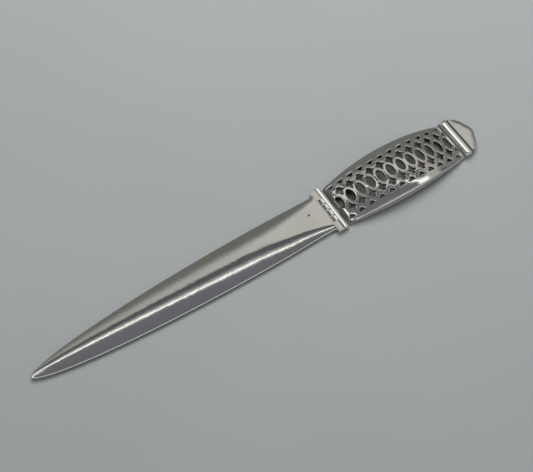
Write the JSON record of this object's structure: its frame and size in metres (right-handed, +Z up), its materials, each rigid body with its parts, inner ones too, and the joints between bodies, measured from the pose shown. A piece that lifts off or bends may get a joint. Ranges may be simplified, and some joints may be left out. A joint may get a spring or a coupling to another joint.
{
  "type": "letter opener",
  "caption": "Silver letter opener with a leaf-shaped blade, reeded guard, hollow arched handle with a pierced lattice panel, and a lobed pommel cap.",
  "frame": {"origin": "under the middle of the length, on the plane that the blade's belly and the two cross bars rest on", "axes": "+X along the length from the blade's tip to the pommel cap, +Y across it, +Z up out of the pierced face"},
  "size_m": [0.179, 0.021, 0.0056],
  "materials": {
    "polished_silver": "polished sterling silver with fine wear",
    "pierced_silver": "polished sterling silver, darker in the piercings",
    "inner_silver": "polished outside, dull and slightly tarnished inside"
  },
  "bodies": {
    "root": {"blade": "polished_silver", "guard_bolster": "polished_silver", "guard_bead": "polished_silver", "guard_reed": "polished_silver", "handle_back": "inner_silver", "handle_front": "pierced_silver", "pommel_bolster": "polished_silver", "pommel_bead": "polished_silver", "pommel_reed": "polished_silver", "pommel_cap": "polished_silver"}
  },
  "joints": []
}
